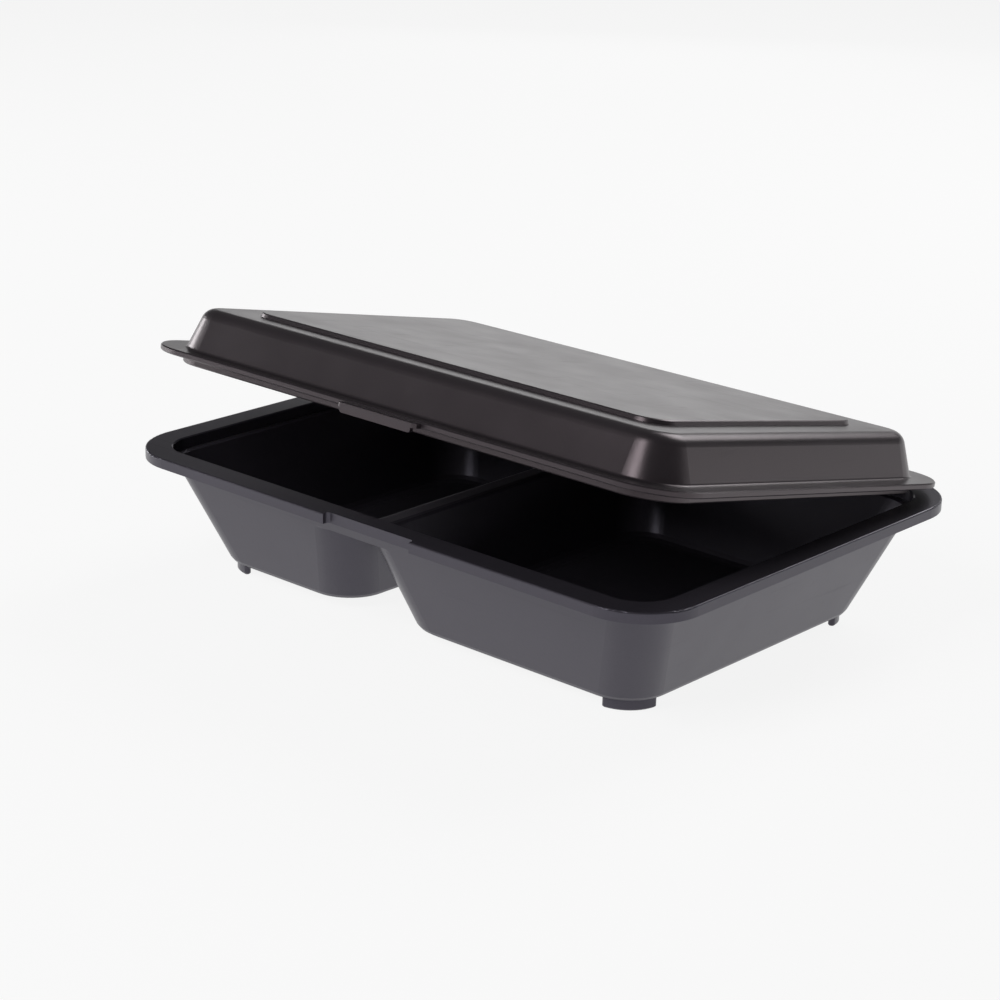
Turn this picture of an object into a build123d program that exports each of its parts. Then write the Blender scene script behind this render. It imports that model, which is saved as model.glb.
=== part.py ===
from build123d import *
import os
from math import atan, cos, radians, sin, sqrt, tan

os.makedirs("parts", exist_ok=True)

# Whole box, in millimetres: x runs along the hinge, y from the latch to the hinge, z up from the table.
# The origin lies on the table under the middle of the box, counted with its hinges.
box_length = 229.0
box_width = 165.0
rim_height = 43.5
wall = 1.8
open_angle = 11.8
parting_gap = 0.3
round_steps = 3

# Tray rim: a flat flange with a turned-down lip outside and a stepped ledge inside
flange_reach = 7.4
flange_plate = 1.8
lip_height = 3.5
lip_thickness = 1.7
seat_depth = 4.0
ledge_width = 2.2
ledge_bevel = 0.7
rim_edge_round = 0.6
rim_edge_bevel = 0.4
wall_corner_radius = 14.0
rim_corner_radius = wall_corner_radius + flange_reach

# Tray tubs: two drafted tubs, parted by a channel that is open below and at both ends
base_inset = 22.7
base_edge_round = 3.0
floor_edge_round = 4.0
divider_offset = 15.5
channel_base_width = 23.0
channel_top_width = 5.0
channel_height = 33.0
channel_top_round = 1.5
divider_top_round = 2.2

# Stacking feet: a quarter ring under each corner, which sits round the raised panel of a lid below
foot_height = 3.2
foot_width = 2.4
foot_setback = 1.5
foot_root = 1.0
foot_sweep = 76.0
foot_edge_bevel = 0.4

# Latch: a tab that stands out from the lid's flange and turns down into a recess of the tray's lip
latch_offset = 2.0
recess_width = 37.0
recess_depth = 2.2
recess_corner_round = 1.2
tab_width = 33.0
tab_thickness = 1.5
tab_drop = 1.6
tab_bead_radius = 0.4
tab_corner_round = 0.9
tab_end_round = 1.5

# Hinges: hooks on the lid that snap over short bars between two lugs of the tray
hinge_spacing = 110.0
bar_radius = 1.5
bar_length = 14.0
hook_clearance = 0.08
hook_thickness = 1.4
hook_side_gap = 0.35
hook_mouth = 100.0
hook_mouth_direction = -50.0
hinge_clearance = 0.45
lug_thickness = 3.0
lug_radius = 2.8
lug_neck_drop = 1.0
lug_root = 0.9

# Lid: a flange over the tray's, a bead that drops inside its step, a drafted dome and a raised panel
lid_flange = 2.0
lid_flange_inset = 3.0
lid_wall_inset = 10.1
dome_draft = 19.5
dome_height = 15.9
dome_corner_radius = 14.5
shoulder_round = 5.0
dome_root_round = 1.0
bead_drop = 3.0
bead_clearance = 0.4
bead_thickness = 1.4
bead_edge_bevel = 0.4
panel_rise = 1.4
panel_nest_gap = 1.3
panel_draft = 20.0
panel_edge_bevel = 0.3

# Places worked out from the sizes above
flange_underside = rim_height - flange_plate
lip_underside = rim_height - lip_height
step_inset = flange_reach + wall
ledge_height = rim_height - seat_depth
wall_top = ledge_height - wall
wall_top_inset = flange_reach + ledge_width
wall_slope = (base_inset - wall_top_inset) / (wall_top - foot_height)
wall_across = wall / cos(atan(wall_slope))
floor_height = foot_height + wall
divider_top = channel_height + wall
channel_slope = (channel_base_width - channel_top_width) / 2 / (channel_height - foot_height)
cavity_corner_radius = wall_corner_radius - wall

hook_radius = bar_radius + hook_clearance + hook_thickness
hinge_reach = hook_radius + hinge_clearance
middle_y = -(hinge_reach + hook_radius) / 2
hinge_y = middle_y + box_width / 2 + hinge_reach
hinge_z = rim_height + parting_gap / 2
hinge_axis = Axis((0, hinge_y, hinge_z), (-1, 0, 0))

lid_base = rim_height + parting_gap
dome_slope = tan(radians(dome_draft))
dome_across = wall / cos(radians(dome_draft))
bead_inset = step_inset + bead_clearance
dome_cavity_inset = bead_inset + bead_thickness
dome_cavity_turn = lid_flange + (dome_cavity_inset - dome_across - lid_wall_inset) / dome_slope
dome_cavity_radius = dome_corner_radius - (dome_cavity_inset - lid_wall_inset)
ceiling_height = dome_height - wall
panel_inset = base_inset + foot_setback + foot_width + panel_nest_gap
panel_corner_radius = wall_corner_radius - foot_setback - foot_width - panel_nest_gap
panel_recess_inset = panel_inset + wall - panel_rise * tan(radians(panel_draft))


def wall_inset(height):
    """How far the tray's outer wall lies inside the rim's edge at a height."""
    return wall_top_inset + (wall_top - height) * wall_slope


def channel_half_width(height):
    """Half the width of the channel between the tubs at a height."""
    return channel_top_width / 2 + (channel_height - height) * channel_slope


def level(height):
    """A level plane over the middle of the tray, at a height above the table."""
    return Plane(origin=(0, middle_y, height))


def rim_outline(height, inset, radius):
    """The rounded outline of the box, drawn a distance inside the rim's edge."""
    with BuildSketch(level(height)) as outline:
        RectangleRounded(box_length - 2 * inset, box_width - 2 * inset, radius)
    return outline.sketch


def rim_ring(height, outer_inset, inner_inset):
    """The band between two outlines that follow the rim."""
    with BuildSketch(level(height)) as band:
        for inset, mode in ((outer_inset, Mode.ADD), (inner_inset, Mode.SUBTRACT)):
            length, width = box_length - 2 * inset, box_width - 2 * inset
            RectangleRounded(length, width, rim_corner_radius - inset, mode=mode)
    return band.sketch


def tub_outline(side, height, thickness, inner_edge, radius):
    """One tub's outline: thickness is taken off the wall, inner_edge off the channel's middle line."""
    inset = wall_inset(height) + thickness
    outer_x = side * (box_length / 2 - inset)
    inner_x = side * inner_edge - divider_offset
    with BuildSketch(level(height)) as outline:
        with Locations(((outer_x + inner_x) / 2, 0)):
            RectangleRounded(abs(outer_x - inner_x), box_width - 2 * inset, radius)
    return outline.sketch


def bottom_pull(rise, edge_round, slope):
    """How far a rounded bottom edge pulls a drafted wall in, at a rise above the floor."""
    wall_turn = radians(90) - atan(slope)
    if rise >= edge_round * (1 - cos(wall_turn)):
        return 0
    reach = sqrt(edge_round**2 - (edge_round - rise) ** 2)
    return edge_round * tan(wall_turn / 2) + rise * slope - reach


def tub_sections(side, bottom, top, thickness, across, bottom_round, top_round, radius):
    """Outlines from a tub's rounded floor edge to its mouth, rolled over towards the channel."""
    sections = []
    turn_height = top - top_round
    turn_edge = channel_half_width(turn_height) + across
    for step in range(round_steps + 1):
        turn = (radians(90) - atan(wall_slope)) * step / round_steps
        rise = bottom_round * (1 - cos(turn))
        outer_pull = bottom_pull(rise, bottom_round, wall_slope)
        inner_pull = bottom_pull(rise, bottom_round, channel_slope)
        edge = channel_half_width(bottom + rise) + across + inner_pull
        sections.append(tub_outline(side, bottom + rise, thickness + outer_pull, edge, radius))
    for step in range(round_steps + 1):
        turn = radians(90 * step / round_steps)
        height = turn_height + top_round * sin(turn)
        edge = turn_edge - top_round * (1 - cos(turn))
        sections.append(tub_outline(side, height, thickness, edge, radius))
    return sections


# Food space: what is hollow above the tray's floor
with BuildPart() as food_space:
    for side in (-1, 1):
        loft(
            sections=tub_sections(
                side,
                floor_height,
                divider_top,
                wall_across,
                wall,
                floor_edge_round,
                divider_top_round,
                cavity_corner_radius,
            ),
            ruled=True,
        )
    loft(
        sections=[
            rim_outline(divider_top, wall_inset(divider_top) + wall_across, cavity_corner_radius),
            rim_outline(ledge_height, wall_inset(ledge_height) + wall_across, cavity_corner_radius),
        ],
        ruled=True,
    )
    extrude(rim_outline(ledge_height, step_inset, rim_corner_radius - step_inset), amount=seat_depth)
    ledge = food_space.faces().filter_by(Axis.Z).sort_by(Axis.Z)[-2]
    chamfer(ledge.inner_wires()[0].edges(), ledge_bevel)

# Tray
with BuildPart() as tray:
    for side in (-1, 1):
        loft(
            sections=tub_sections(
                side, foot_height, channel_height, 0, 0, base_edge_round, channel_top_round, wall_corner_radius
            ),
            ruled=True,
        )
    loft(
        sections=[
            rim_outline(channel_height, wall_inset(channel_height), wall_corner_radius),
            rim_outline(wall_top, wall_top_inset, wall_corner_radius),
        ],
        ruled=True,
    )
    extrude(rim_outline(wall_top, flange_reach, wall_corner_radius), amount=rim_height - wall_top)
    extrude(rim_outline(flange_underside, 0, rim_corner_radius), amount=flange_plate)
    extrude(rim_ring(lip_underside, 0, lip_thickness), amount=lip_height)
    fillet(tray.faces().sort_by(Axis.Z)[-1].edges(), rim_edge_round)

    # Latch recess: the lip steps back over a short length of the front edge
    recess_front = (latch_offset, -box_width / 2)
    with BuildSketch(level(lip_underside)) as recess_wall:
        with Locations(recess_front):
            Rectangle(
                recess_width + 2 * lip_thickness,
                recess_depth + lip_thickness,
                align=(Align.CENTER, Align.MIN),
            )
    extrude(amount=lip_height - rim_edge_round)
    with BuildSketch(level(lip_underside)) as recess:
        with Locations(recess_front):
            Rectangle(recess_width, recess_depth, align=(Align.CENTER, Align.MIN))
        fillet(recess.vertices().group_by(Axis.Y)[-1], recess_corner_round)
    extrude(amount=lip_height, mode=Mode.SUBTRACT)

    add(food_space.part, mode=Mode.SUBTRACT)
    chamfer(tray.faces().sort_by(Axis.Z)[-1].inner_wires()[0].edges(), rim_edge_bevel)

    # Stacking feet: rounded arcs under one corner, mirrored to the other three
    foot_radius = wall_corner_radius - foot_setback - foot_width / 2
    with BuildSketch(level(0)) as foot:
        with BuildLine(mode=Mode.PRIVATE) as foot_line:
            CenterArc(
                (
                    box_length / 2 - base_inset - wall_corner_radius,
                    box_width / 2 - base_inset - wall_corner_radius,
                ),
                foot_radius,
                45 - foot_sweep / 2,
                foot_sweep,
            )
        SlotArc(foot_line.edge(), foot_width)
        mirror(about=Plane.YZ)
        mirror(about=Plane.XZ)
    extrude(amount=foot_height + foot_root)
    chamfer(tray.faces().group_by(Axis.Z)[0].edges(), foot_edge_bevel)

    # Hinges: two lugs and the bar between them, twice
    for hinge_x in (-hinge_spacing / 2, hinge_spacing / 2):
        for side in (-1, 1):
            lug_x = hinge_x + side * (bar_length + lug_thickness) / 2
            with BuildSketch(Plane.YZ.offset(lug_x)) as lug:
                with Locations((hinge_y, hinge_z)):
                    Circle(lug_radius)
                with Locations((hinge_y, hinge_z - lug_radius)):
                    Rectangle(
                        hinge_reach + lug_root,
                        rim_height - lug_neck_drop - hinge_z + lug_radius,
                        align=(Align.MAX, Align.MIN),
                    )
            extrude(amount=lug_thickness / 2, both=True)
        with BuildSketch(Plane.YZ.offset(hinge_x)) as bar:
            with Locations((hinge_y, hinge_z)):
                Circle(bar_radius)
        extrude(amount=(bar_length + lug_thickness) / 2, both=True)

# Hollow of the lid: straight inside the bead, drafted inside the dome, raised under the panel
with BuildPart() as lid_space:
    extrude(
        rim_outline(lid_base - bead_drop, dome_cavity_inset, dome_cavity_radius),
        amount=bead_drop + dome_cavity_turn,
    )
    extrude(
        rim_outline(lid_base + dome_cavity_turn, dome_cavity_inset, dome_cavity_radius),
        amount=ceiling_height - dome_cavity_turn,
        taper=dome_draft,
    )
    fillet(lid_space.faces().sort_by(Axis.Z)[-1].edges(), shoulder_round - wall)
    extrude(
        rim_outline(lid_base + ceiling_height, panel_recess_inset, panel_corner_radius),
        amount=panel_rise,
        taper=panel_draft,
    )

# Lid, drawn closed
with BuildPart() as lid:
    extrude(
        rim_outline(lid_base + lid_flange, lid_wall_inset, dome_corner_radius),
        amount=dome_height - lid_flange,
        taper=dome_draft,
    )
    fillet(lid.faces().sort_by(Axis.Z)[-1].edges(), shoulder_round)
    extrude(
        rim_outline(lid_base + dome_height, panel_inset, panel_corner_radius),
        amount=panel_rise,
        taper=panel_draft,
    )
    chamfer(lid.faces().sort_by(Axis.Z)[-1].edges(), panel_edge_bevel)
    extrude(
        rim_outline(lid_base, lid_flange_inset, rim_corner_radius - lid_flange_inset), amount=lid_flange
    )
    flange_top = lid.faces().filter_by(Axis.Z).filter_by_position(
        Axis.Z, lid_base + lid_flange - wall / 2, lid_base + lid_flange + wall / 2
    )
    fillet(flange_top[0].inner_wires()[0].edges(), dome_root_round)
    chamfer(lid.faces().sort_by(Axis.Z)[0].edges(), rim_edge_bevel)
    outer_top = lid.faces().filter_by(Axis.Z).filter_by_position(
        Axis.Z, lid_base + lid_flange - wall / 2, lid_base + lid_flange + wall / 2
    )
    chamfer(outer_top[0].outer_wire().edges(), rim_edge_bevel)

    # Bead: a rib under the flange that drops inside the step of the rim
    extrude(
        rim_outline(lid_base - bead_drop, bead_inset, dome_cavity_radius + bead_thickness),
        amount=bead_drop + lid_flange / 2,
    )
    chamfer(lid.faces().sort_by(Axis.Z)[0].edges(), bead_edge_bevel)
    add(lid_space.part, mode=Mode.SUBTRACT)

    # Latch tab: a tongue level with the flange, turned down at the rim's edge, with a bead inside
    with BuildSketch(level(lid_base)) as tongue:
        with Locations((latch_offset, -box_width / 2)):
            Rectangle(tab_width, lid_flange_inset + tab_thickness, align=(Align.CENTER, Align.MIN))
        fillet(tongue.vertices().group_by(Axis.Y)[0], tab_end_round)
    extrude(amount=lid_flange - rim_edge_round)
    with BuildSketch(Plane.XZ.offset(box_width / 2 - middle_y)) as tab:
        with Locations((latch_offset, lid_base - tab_drop)):
            Rectangle(
                tab_width - 2 * tab_end_round, tab_drop + lid_flange / 2, align=(Align.CENTER, Align.MIN)
            )
        fillet(tab.vertices().group_by(Axis.Y)[0], tab_corner_round)
    extrude(amount=-tab_thickness)
    with BuildSketch(Plane.YZ.offset(latch_offset)) as tab_bead:
        with Locations((middle_y - box_width / 2 + tab_thickness, lid_base - tab_drop / 2)):
            Circle(tab_bead_radius)
    extrude(amount=tab_width / 2 - tab_end_round - tab_corner_round, both=True)

    # Hooks: a ring with a mouth, and the arm that ties it to the flange
    for hinge_x in (-hinge_spacing / 2, hinge_spacing / 2):
        with BuildSketch(Plane.YZ.offset(hinge_x)) as hook:
            with Locations((hinge_y, hinge_z)):
                Circle(hook_radius)
            with Locations((hinge_y, lid_base)):
                Rectangle(
                    hinge_reach + lid_flange_inset + lug_root,
                    lid_flange - rim_edge_round,
                    align=(Align.MAX, Align.MIN),
                )
            with Locations((hinge_y, hinge_z)):
                Circle(bar_radius + hook_clearance, mode=Mode.SUBTRACT)
            with BuildLine():
                Polyline(
                    (hinge_y, hinge_z),
                    (
                        hinge_y + 2 * hook_radius * cos(radians(hook_mouth_direction - hook_mouth / 2)),
                        hinge_z + 2 * hook_radius * sin(radians(hook_mouth_direction - hook_mouth / 2)),
                    ),
                    (
                        hinge_y + 2 * hook_radius * cos(radians(hook_mouth_direction + hook_mouth / 2)),
                        hinge_z + 2 * hook_radius * sin(radians(hook_mouth_direction + hook_mouth / 2)),
                    ),
                    close=True,
                )
            make_face(mode=Mode.SUBTRACT)
        extrude(amount=bar_length / 2 - hook_side_gap, both=True)

# The lid stands a little open: it is turned about the bars
open_lid = lid.part.rotate(hinge_axis, open_angle)

tray.part.label = "tray"
open_lid.label = "lid"
export_step(tray.part, "parts/tray.step")
export_step(open_lid, "parts/lid.step")
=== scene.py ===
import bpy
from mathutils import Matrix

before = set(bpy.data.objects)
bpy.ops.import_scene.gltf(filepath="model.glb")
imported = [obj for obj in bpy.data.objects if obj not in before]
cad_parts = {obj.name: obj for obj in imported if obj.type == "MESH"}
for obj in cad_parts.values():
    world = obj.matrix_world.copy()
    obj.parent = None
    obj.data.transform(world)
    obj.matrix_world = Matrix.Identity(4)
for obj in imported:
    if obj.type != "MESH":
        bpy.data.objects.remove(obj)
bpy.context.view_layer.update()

from math import cos, radians, sin

import bpy
from bpy.props import FloatProperty, FloatVectorProperty, PointerProperty
from bpy.types import Operator, Panel, PropertyGroup
from mathutils import Matrix, Vector

bl_info = {
    "name": "Reusable meal box",
    "version": (1, 0, 0),
    "blender": (4, 5, 0),
    "location": "View3D > Sidebar > Meal box",
    "description": "Finishes a hinged two-compartment meal box in satin moulded plastic and stages it",
    "category": "Object",
}

MM = 0.001

# Polypropylene's refractive index, and the shader's specular level for a satin moulding
PLASTIC_IOR = 1.49
SPECULAR_LEVEL = 0.78

# Tint: how fine the clouds and flecks are, how much of the tone each gives, and how far it strays
CLOUD_SCALE = 22.0
FLECK_SCALE = 1400.0
CLOUD_SHARE = 0.65
FLECK_SHARE = 0.35
TONE_SPREAD = 0.22

# Gloss: how fine the patches are, and the noise levels between which a rub mark fades in
PATCH_SCALE = 60.0
MARK_START = 0.66
MARK_FULL = 0.74

# Rub marks: how fine the noise is along X, Y and Z, and its turn about Z in degrees
RUB_MARKS = (
    ((14.0, 900.0, 220.0), 9.0),
    ((700.0, 18.0, 260.0), -5.0),
)

# Grain: how many times finer the roughness on the cells is, its height beside theirs, and the strength
FINE_GRAIN = 3.0
FINE_HEIGHT = 0.5
GRAIN_STRENGTH = 0.6

# Camera: sensor width in millimetres, nearest and furthest distance shown in metres
SENSOR_WIDTH = 36.0
NEAREST = 0.01
FURTHEST = 100.0

# Softboxes: name, azimuth and elevation in degrees, distance, width and height in metres, power in watts
# The azimuth is counted from the latch side towards the large compartment, as the camera's is
SOFTBOXES = (
    ("softbox_left", 285.0, 8.0, 1.20, 0.70, 0.25, 5.2),
    ("softbox_front", 353.0, 38.0, 1.30, 0.50, 0.70, 6.2),
    ("softbox_back", 180.0, 40.0, 1.30, 0.70, 0.70, 7.0),
    ("softbox_back_left", 218.0, 8.0, 1.30, 0.50, 0.25, 0.35),
    ("softbox_right", 120.0, 3.0, 0.55, 0.30, 0.10, 0.12),
)

# Height above the table of the point that the softboxes are turned to, in metres
SOFTBOX_HEIGHT = 0.04


class MealBoxPlastic(PropertyGroup):
    """The satin moulded plastic of the tray and the lid."""

    tray_colour: FloatVectorProperty(
        name="Tray colour",
        description="Colour of the tray's plastic",
        subtype="COLOR",
        size=3,
        min=0.0,
        max=1.0,
        default=(0.036, 0.0325, 0.041),
    )
    lid_colour: FloatVectorProperty(
        name="Lid colour",
        description="Colour of the lid's plastic",
        subtype="COLOR",
        size=3,
        min=0.0,
        max=1.0,
        default=(0.0215, 0.018, 0.021),
    )
    tray_sheen: FloatVectorProperty(
        name="Tray sheen",
        description="Faint colour of the tray's reflections",
        subtype="COLOR",
        size=3,
        min=0.0,
        max=1.0,
        default=(0.87, 0.83, 1.0),
    )
    lid_sheen: FloatVectorProperty(
        name="Lid sheen",
        description="Faint colour of the lid's reflections",
        subtype="COLOR",
        size=3,
        min=0.0,
        max=1.0,
        default=(1.0, 0.84, 0.90),
    )
    roughness: FloatProperty(
        name="Roughness",
        description="Mean roughness of the satin finish",
        subtype="FACTOR",
        min=0.0,
        max=1.0,
        default=0.32,
    )
    gloss_spread: FloatProperty(
        name="Gloss spread",
        description="How far the roughness strays from its mean",
        min=0.0,
        max=0.3,
        default=0.05,
    )
    rub_marks: FloatProperty(
        name="Rub marks",
        description="Roughness that the thin rub marks add",
        min=0.0,
        max=0.5,
        default=0.05,
    )
    grain_size: FloatProperty(
        name="Grain size",
        description="Size of the fine grain that the mould leaves",
        subtype="DISTANCE",
        unit="LENGTH",
        default=0.8 * MM,
    )
    grain_depth: FloatProperty(
        name="Grain depth",
        description="Depth of the fine grain",
        subtype="DISTANCE",
        unit="LENGTH",
        default=0.012 * MM,
    )


class MealBoxStage(PropertyGroup):
    """The floor, the soft lights and the camera."""

    floor_colour: FloatVectorProperty(
        name="Floor colour",
        description="Colour of the floor",
        subtype="COLOR",
        size=3,
        min=0.0,
        max=1.0,
        default=(0.86, 0.86, 0.86),
    )
    floor_size: FloatProperty(
        name="Floor size",
        description="Side of the square floor",
        subtype="DISTANCE",
        unit="LENGTH",
        default=60.0,
    )
    floor_white: FloatProperty(
        name="Floor white",
        description="Share of the floor that shows as plain white to the camera and in gloss",
        subtype="FACTOR",
        min=0.0,
        max=1.0,
        default=0.88,
    )
    room_light: FloatProperty(
        name="Room light",
        description="Strength of the even light from all around",
        min=0.0,
        default=0.10,
    )
    backdrop_white: FloatProperty(
        name="Backdrop white",
        description="Angle above the table up to which the backdrop is white",
        subtype="ANGLE",
        unit="ROTATION",
        default=radians(1.0),
    )
    backdrop_dim: FloatProperty(
        name="Backdrop dim",
        description="Angle above the table at which the backdrop has faded into the room light",
        subtype="ANGLE",
        unit="ROTATION",
        default=radians(8.0),
    )
    view_azimuth: FloatProperty(
        name="Azimuth",
        description="Direction of the camera, counted from the latch side towards the large compartment",
        subtype="ANGLE",
        unit="ROTATION",
        default=radians(41.35),
    )
    view_elevation: FloatProperty(
        name="Elevation",
        description="Angle of the camera above the table",
        subtype="ANGLE",
        unit="ROTATION",
        default=radians(18.80),
    )
    view_roll: FloatProperty(
        name="Roll",
        description="Turn of the camera about its own line of sight",
        subtype="ANGLE",
        unit="ROTATION",
        default=radians(1.59),
    )
    view_distance: FloatProperty(
        name="Distance",
        description="Distance from the camera to the point that it looks at",
        subtype="DISTANCE",
        unit="LENGTH",
        default=866.71 * MM,
    )
    view_target: FloatVectorProperty(
        name="Target",
        description="The point that the camera looks at",
        subtype="TRANSLATION",
        unit="LENGTH",
        size=3,
        default=(-32.46 * MM, 15.80 * MM, 20.0 * MM),
    )
    focal_length: FloatProperty(
        name="Focal length",
        description="Focal length in millimetres on a sensor 36 mm wide",
        default=89.72,
    )


def add_node(tree, kind, place, **values):
    """Adds a node at a place in the tree and sets its properties and inputs."""
    node = tree.nodes.new(kind)
    node.location = place
    for name, value in values.items():
        if hasattr(node, name):
            setattr(node, name, value)
        else:
            node.inputs[name.replace("_", " ").title()].default_value = value
    return node


def moulded_plastic(name, colour, sheen, plastic):
    """Satin polypropylene: mould grain, flow clouds, small changes of gloss and rub marks."""
    material = bpy.data.materials.new(name)
    material.use_nodes = True
    tree = material.node_tree
    link = tree.links.new
    tree.nodes.clear()
    output = add_node(tree, "ShaderNodeOutputMaterial", (900, 0))
    shader = add_node(tree, "ShaderNodeBsdfPrincipled", (600, 0))
    shader.inputs["IOR"].default_value = PLASTIC_IOR
    shader.inputs["Specular IOR Level"].default_value = SPECULAR_LEVEL
    shader.inputs["Specular Tint"].default_value = (*sheen, 1.0)
    place = add_node(tree, "ShaderNodeTexCoord", (-1500, 0))
    tint_colour(tree, place, shader, colour)
    vary_gloss(tree, place, shader, plastic)
    raise_grain(tree, place, shader, plastic)
    link(shader.outputs["BSDF"], output.inputs["Surface"])
    return material


def tint_colour(tree, place, shader, colour):
    """Broad flow clouds and a fine fleck of pigment, both faint."""
    link = tree.links.new
    clouds = add_node(tree, "ShaderNodeTexNoise", (-1200, 500), scale=CLOUD_SCALE, detail=3.0)
    flecks = add_node(tree, "ShaderNodeTexNoise", (-1200, 300), scale=FLECK_SCALE, detail=1.0)
    both = add_node(tree, "ShaderNodeMath", (-900, 400), operation="MULTIPLY_ADD")
    both.inputs[1].default_value = FLECK_SHARE
    scaled = add_node(tree, "ShaderNodeMath", (-1050, 500), operation="MULTIPLY")
    scaled.inputs[1].default_value = CLOUD_SHARE
    tone = add_node(tree, "ShaderNodeMix", (-500, 400), data_type="RGBA")
    tone.inputs["A"].default_value = (*[(1.0 - TONE_SPREAD) * c for c in colour], 1.0)
    tone.inputs["B"].default_value = (*[(1.0 + TONE_SPREAD) * c for c in colour], 1.0)
    link(place.outputs["Object"], clouds.inputs["Vector"])
    link(place.outputs["Object"], flecks.inputs["Vector"])
    link(clouds.outputs["Fac"], scaled.inputs[0])
    link(flecks.outputs["Fac"], both.inputs[0])
    link(scaled.outputs[0], both.inputs[2])
    link(both.outputs[0], tone.inputs["Factor"])
    link(tone.outputs["Result"], shader.inputs["Base Color"])


def vary_gloss(tree, place, shader, plastic):
    """Soft patches of gloss, and thin rub marks that run along and across the box."""
    link = tree.links.new
    patches = add_node(tree, "ShaderNodeTexNoise", (-1200, 0), scale=PATCH_SCALE, detail=4.0)
    spread = add_node(tree, "ShaderNodeMapRange", (-900, 0))
    spread.inputs["To Min"].default_value = plastic.roughness - plastic.gloss_spread
    spread.inputs["To Max"].default_value = plastic.roughness + plastic.gloss_spread
    link(place.outputs["Object"], patches.inputs["Vector"])
    link(patches.outputs["Fac"], spread.inputs["Value"])
    total = spread.outputs["Result"]
    for row, (fineness, turn) in enumerate(RUB_MARKS):
        lay = add_node(tree, "ShaderNodeMapping", (-1200, -200 - 200 * row))
        lay.inputs["Rotation"].default_value = (0.0, 0.0, radians(turn))
        lay.inputs["Scale"].default_value = fineness
        marks = add_node(tree, "ShaderNodeTexNoise", (-1000, -200 - 200 * row), scale=1.0, detail=2.0)
        thin = add_node(tree, "ShaderNodeMapRange", (-800, -200 - 200 * row))
        thin.inputs["From Min"].default_value = MARK_START
        thin.inputs["From Max"].default_value = MARK_FULL
        thin.inputs["To Max"].default_value = plastic.rub_marks
        add = add_node(tree, "ShaderNodeMath", (-500, -200 * row), operation="ADD")
        link(place.outputs["Object"], lay.inputs["Vector"])
        link(lay.outputs["Vector"], marks.inputs["Vector"])
        link(marks.outputs["Fac"], thin.inputs["Value"])
        link(total, add.inputs[0])
        link(thin.outputs["Result"], add.inputs[1])
        total = add.outputs[0]
    link(total, shader.inputs["Roughness"])


def raise_grain(tree, place, shader, plastic):
    """The spark-eroded grain of the mould: rounded cells with a finer roughness on them."""
    link = tree.links.new
    cells = add_node(tree, "ShaderNodeTexVoronoi", (-1200, -700), feature="F1")
    cells.inputs["Scale"].default_value = 1.0 / plastic.grain_size
    fine_scale = FINE_GRAIN / plastic.grain_size
    fine = add_node(tree, "ShaderNodeTexNoise", (-1200, -950), scale=fine_scale, detail=1.0)
    height = add_node(tree, "ShaderNodeMath", (-800, -800), operation="MULTIPLY_ADD")
    height.inputs[1].default_value = FINE_HEIGHT
    bump = add_node(tree, "ShaderNodeBump", (-300, -700))
    bump.inputs["Strength"].default_value = GRAIN_STRENGTH
    bump.inputs["Distance"].default_value = plastic.grain_depth
    link(place.outputs["Object"], cells.inputs["Vector"])
    link(place.outputs["Object"], fine.inputs["Vector"])
    link(fine.outputs["Fac"], height.inputs[0])
    link(cells.outputs["Distance"], height.inputs[2])
    link(height.outputs[0], bump.inputs["Height"])
    link(bump.outputs["Normal"], shader.inputs["Normal"])


def dress(node_name, material):
    """Gives a moulding its material."""
    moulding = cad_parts[node_name]
    moulding.data.materials.clear()
    moulding.data.materials.append(material)


class MEALBOX_OT_tray(Operator):
    """Finish the tray"""

    bl_idname = "mealbox.tray"
    bl_label = "Tray"

    def execute(self, context):
        plastic = context.scene.meal_box_plastic
        satin = moulded_plastic("tray_plastic", plastic.tray_colour, plastic.tray_sheen, plastic)
        dress("tray", satin)
        return {"FINISHED"}


class MEALBOX_OT_lid(Operator):
    """Finish the lid"""

    bl_idname = "mealbox.lid"
    bl_label = "Lid"

    def execute(self, context):
        plastic = context.scene.meal_box_plastic
        satin = moulded_plastic("lid_plastic", plastic.lid_colour, plastic.lid_sheen, plastic)
        dress("lid", satin)
        return {"FINISHED"}


def towards(azimuth, elevation):
    """The direction at an azimuth from the latch side and an elevation above the table."""
    level = cos(elevation)
    return Vector((sin(azimuth) * level, -cos(azimuth) * level, sin(elevation)))


def softbox(name, aside, distance, size, power):
    """A rectangular area lamp in a direction from the box, turned to it."""
    lamp = bpy.data.lights.new(name, "AREA")
    lamp.shape = "RECTANGLE"
    lamp.size, lamp.size_y = size
    lamp.energy = power
    holder = bpy.data.objects.new(name, lamp)
    bpy.context.scene.collection.objects.link(holder)
    holder.location = Vector((0.0, 0.0, SOFTBOX_HEIGHT)) + aside * distance
    holder.rotation_mode = "QUATERNION"
    holder.rotation_quaternion = aside.to_track_quat("Z", "Y")


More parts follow.
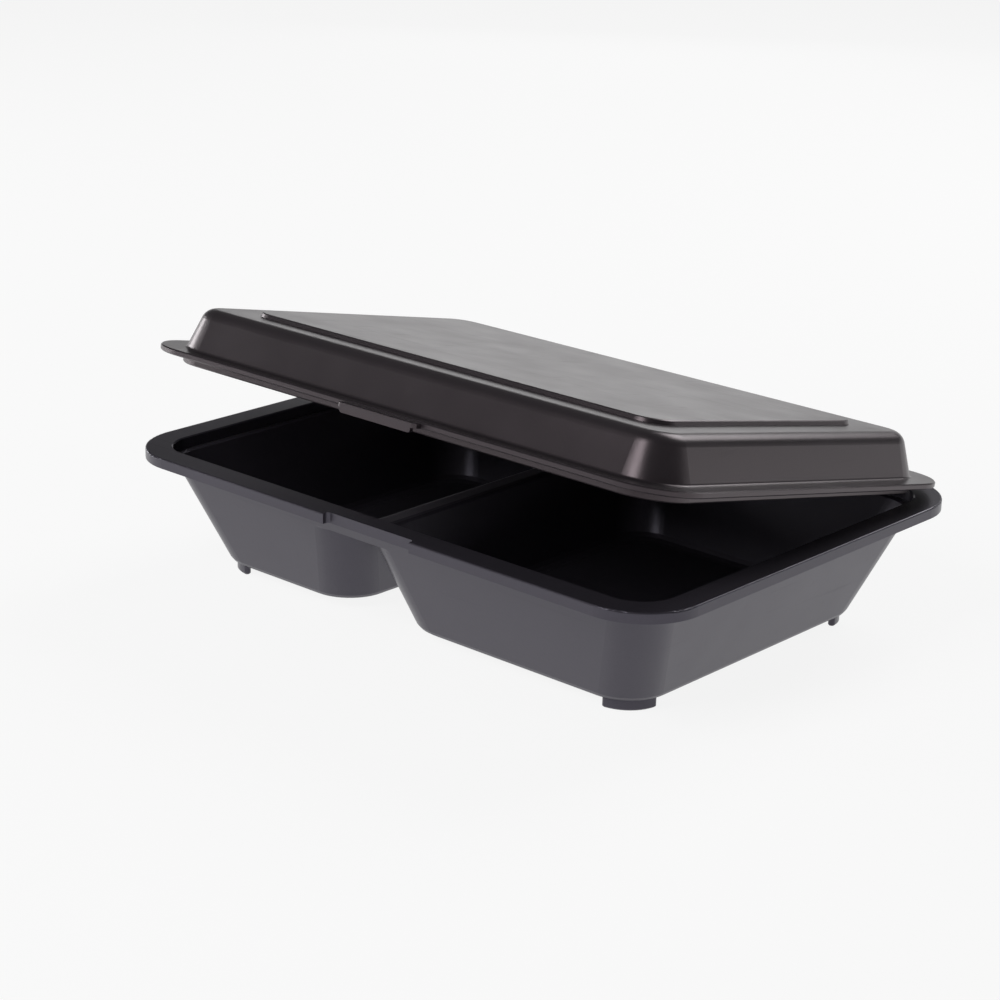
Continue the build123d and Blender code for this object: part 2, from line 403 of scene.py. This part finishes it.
class MEALBOX_OT_stage(Operator):
    """Lay the floor, hang the lights and place the camera"""

    bl_idname = "mealbox.stage"
    bl_label = "Stage"

    def execute(self, context):
        stage = context.scene.meal_box_stage
        self.lay_floor(stage)
        self.light(context, stage)
        self.place_camera(context, stage)
        context.scene.view_settings.view_transform = "Standard"
        return {"FINISHED"}

    def lay_floor(self, stage):
        """A wide square of white paper under the box."""
        bpy.ops.object.select_all(action="DESELECT")
        bpy.ops.mesh.primitive_plane_add(size=stage.floor_size, location=(0, 0, 0))
        floor = bpy.context.object
        floor.name = "floor"
        floor.data.materials.append(self.paper(stage))

    def paper(self, stage):
        """White paper: a share is plain white to the camera and in gloss, the rest keeps the shadow."""
        material = bpy.data.materials.new("floor_paper")
        material.use_nodes = True
        tree = material.node_tree
        link = tree.links.new
        tree.nodes.clear()
        output = add_node(tree, "ShaderNodeOutputMaterial", (600, 0))
        lit = add_node(tree, "ShaderNodeBsdfDiffuse", (0, -200))
        lit.inputs["Color"].default_value = (*stage.floor_colour, 1.0)
        white = add_node(tree, "ShaderNodeEmission", (0, 0), strength=1.0)
        white.inputs["Color"].default_value = (1.0, 1.0, 1.0, 1.0)
        share = add_node(tree, "ShaderNodeMath", (0, 200), operation="MULTIPLY")
        share.inputs[1].default_value = stage.floor_white
        link(self.seen_rays(tree), share.inputs[0])
        mix = add_node(tree, "ShaderNodeMixShader", (300, 0))
        link(share.outputs[0], mix.inputs["Fac"])
        link(lit.outputs["BSDF"], mix.inputs[1])
        link(white.outputs["Emission"], mix.inputs[2])
        link(mix.outputs["Shader"], output.inputs["Surface"])
        return material

    def seen_rays(self, tree):
        """One for camera, glossy and transmission rays, else zero."""
        link = tree.links.new
        path = add_node(tree, "ShaderNodeLightPath", (-900, 200))
        direct = add_node(tree, "ShaderNodeMath", (-600, 200), operation="MAXIMUM")
        every = add_node(tree, "ShaderNodeMath", (-300, 200), operation="MAXIMUM")
        link(path.outputs["Is Camera Ray"], direct.inputs[0])
        link(path.outputs["Is Glossy Ray"], direct.inputs[1])
        link(direct.outputs[0], every.inputs[0])
        link(path.outputs["Is Transmission Ray"], every.inputs[1])
        return every.outputs[0]

    def light(self, context, stage):
        """A backdrop that is white at the table and fades upwards, and the softboxes."""
        world = bpy.data.worlds.new("studio")
        context.scene.world = world
        world.use_nodes = True
        tree = world.node_tree
        link = tree.links.new
        room = tree.nodes["Background"]
        room.inputs["Color"].default_value = (1.0, 1.0, 1.0, 1.0)
        place = add_node(tree, "ShaderNodeTexCoord", (-800, 0))
        height = add_node(tree, "ShaderNodeSeparateXYZ", (-600, 0))
        fade = add_node(tree, "ShaderNodeMapRange", (-400, 0), interpolation_type="SMOOTHSTEP")
        fade.inputs["From Min"].default_value = sin(stage.backdrop_white)
        fade.inputs["From Max"].default_value = sin(stage.backdrop_dim)
        fade.inputs["To Min"].default_value = 1.0
        fade.inputs["To Max"].default_value = stage.room_light
        link(place.outputs["Generated"], height.inputs["Vector"])
        link(height.outputs["Z"], fade.inputs["Value"])
        link(fade.outputs["Result"], room.inputs["Strength"])
        for name, azimuth, elevation, distance, wide, tall, power in SOFTBOXES:
            aside = towards(radians(azimuth), radians(elevation))
            softbox(name, aside, distance, (wide, tall), power)

    def place_camera(self, context, stage):
        """The camera at the photograph's view, tilted by the roll."""
        camera_data = bpy.data.cameras.new("camera")
        camera_data.sensor_width = SENSOR_WIDTH
        camera_data.lens = stage.focal_length
        camera_data.clip_start = NEAREST
        camera_data.clip_end = FURTHEST
        camera = bpy.data.objects.new("camera", camera_data)
        context.scene.collection.objects.link(camera)
        back = towards(stage.view_azimuth, stage.view_elevation)
        right = (-back).cross(Vector((0, 0, 1))).normalized()
        up = right.cross(-back)
        roll = stage.view_roll
        tilted_right = right * cos(roll) + up * sin(roll)
        tilted_up = -right * sin(roll) + up * cos(roll)
        place = Vector(stage.view_target) + back * stage.view_distance
        turn = Matrix((tilted_right, tilted_up, back)).transposed().to_4x4()
        camera.matrix_world = Matrix.Translation(place) @ turn
        context.scene.camera = camera


class MEALBOX_PT_panel(Panel):
    """Finishes, stage and steps of the meal box"""

    bl_label = "Meal box"
    bl_idname = "MEALBOX_PT_panel"
    bl_space_type = "VIEW_3D"
    bl_region_type = "UI"
    bl_category = "Meal box"

    def draw(self, context):
        layout = self.layout
        for group in (context.scene.meal_box_plastic, context.scene.meal_box_stage):
            for name in group.__annotations__:
                layout.prop(group, name)
        for step in STEPS:
            layout.operator(step.bl_idname)


STEPS = (MEALBOX_OT_tray, MEALBOX_OT_lid, MEALBOX_OT_stage)
CLASSES = (MealBoxPlastic, MealBoxStage, *STEPS, MEALBOX_PT_panel)


def register():
    for item in CLASSES:
        bpy.utils.register_class(item)
    bpy.types.Scene.meal_box_plastic = PointerProperty(type=MealBoxPlastic)
    bpy.types.Scene.meal_box_stage = PointerProperty(type=MealBoxStage)


def unregister():
    del bpy.types.Scene.meal_box_stage
    del bpy.types.Scene.meal_box_plastic
    for item in reversed(CLASSES):
        bpy.utils.unregister_class(item)


def main():
    """Builds the dressed box and its stage."""
    register()
    bpy.ops.mealbox.tray()
    bpy.ops.mealbox.lid()
    bpy.ops.mealbox.stage()


if __name__ == "__main__":
    main()
